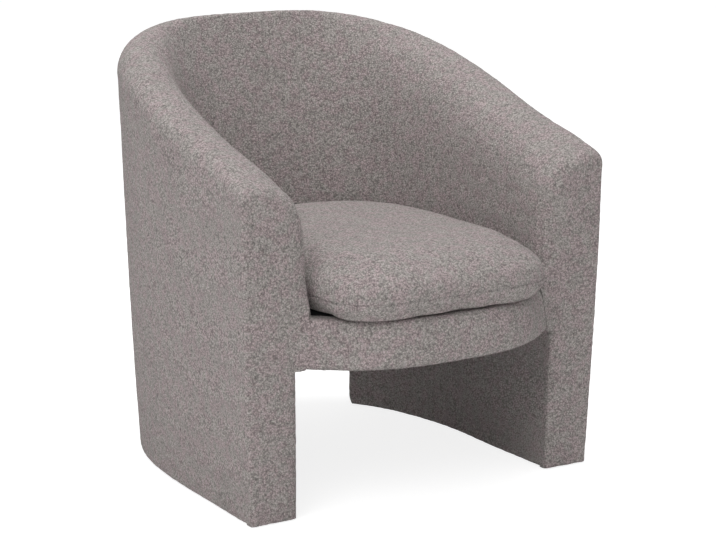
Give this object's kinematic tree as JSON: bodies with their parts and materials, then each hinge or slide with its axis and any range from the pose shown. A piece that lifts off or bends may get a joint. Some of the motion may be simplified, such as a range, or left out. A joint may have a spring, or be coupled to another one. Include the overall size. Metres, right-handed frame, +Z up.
{
  "type": "tub chair",
  "caption": "Fabric tub chair: two broad curved leg walls, a rim that rises from the arms to the back, a bowed padded seat rail and a loose crowned seat cushion.",
  "frame": {"origin": "on the floor, in the middle of the whole chair from side to side and from the cushion's front to the back of the rim", "axes": "+Z up, -Y towards the front of the seat, +X to the left as a person sits in it, which is the right as seen from the front"},
  "size_m": [0.7196, 0.8318, 0.7788],
  "materials": {
    "fabric": "warm grey looped boucle",
    "plywood": "raw birch plywood",
    "hardboard": "raw hardboard",
    "foam": "open-cell seat foam",
    "fibre": "polyester fibre and felt",
    "lining": "black spunbonded lining",
    "steel": "bright zinc-plated steel",
    "glide_plastic": "black moulded plastic"
  },
  "bodies": {
    "chair": {"glides": "glide_plastic", "base_ribs": "plywood", "leg_posts": "plywood", "lower_seat_rib": "plywood", "rib_spacers": "plywood", "upper_seat_rib": "plywood", "rib_screws": "steel", "corner_blocks": "plywood", "arm_posts": "plywood", "back_posts": "plywood", "right_arm_rail": "plywood", "left_arm_rail": "plywood", "back_top_rail": "plywood", "right_outer_panel": "hardboard", "left_outer_panel": "hardboard", "back_outer_panel": "hardboard", "leg_inner_panels": "hardboard", "right_inner_panel": "hardboard", "left_inner_panel": "hardboard", "back_inner_panel": "hardboard", "front_rail_panel": "hardboard", "seat_springs": "steel", "spring_clips": "steel", "spring_felt": "fibre", "deck_foam": "foam", "deck_cloth": "lining", "dust_cover": "lining", "right_outer_wadding": "fibre", "left_outer_wadding": "fibre", "back_outer_wadding": "fibre", "leg_inner_wadding": "fibre", "leg_end_pads": "foam", "right_arm_pad": "foam", "left_arm_pad": "foam", "inside_back_pad": "foam", "right_facing_pad": "foam", "left_facing_pad": "foam", "rail_foam": "foam", "right_outer_cover": "fabric", "left_outer_cover": "fabric", "back_outer_cover": "fabric", "leg_inner_covers": "fabric", "leg_end_covers": "fabric", "leg_bottom_covers": "fabric", "right_arm_cover": "fabric", "left_arm_cover": "fabric", "inside_back_cover": "fabric", "right_facing_cover": "fabric", "left_facing_cover": "fabric", "rail_cover": "fabric"},
    "seat_cushion": {"cushion_foam": "foam", "cushion_wrap": "fibre", "cushion_top_cover": "fabric", "cushion_border": "fabric", "cushion_bottom_cover": "fabric", "zip_tape": "lining"},
    "zip_slider": {"zip_slider": "steel"}
  },
  "joints": [
    {"name": "seat_cushion_lift", "type": "slide", "parent": "chair", "child": "seat_cushion", "axis": [0, 0, 1], "range_m": [0, 0.35]},
    {"name": "zip_slider_travel", "type": "hinge", "parent": "seat_cushion", "child": "zip_slider", "pos_m": [0, -0.19143, 0.3621], "axis": [0, 0, 1], "range_deg": [0, 28.3]}
  ]
}
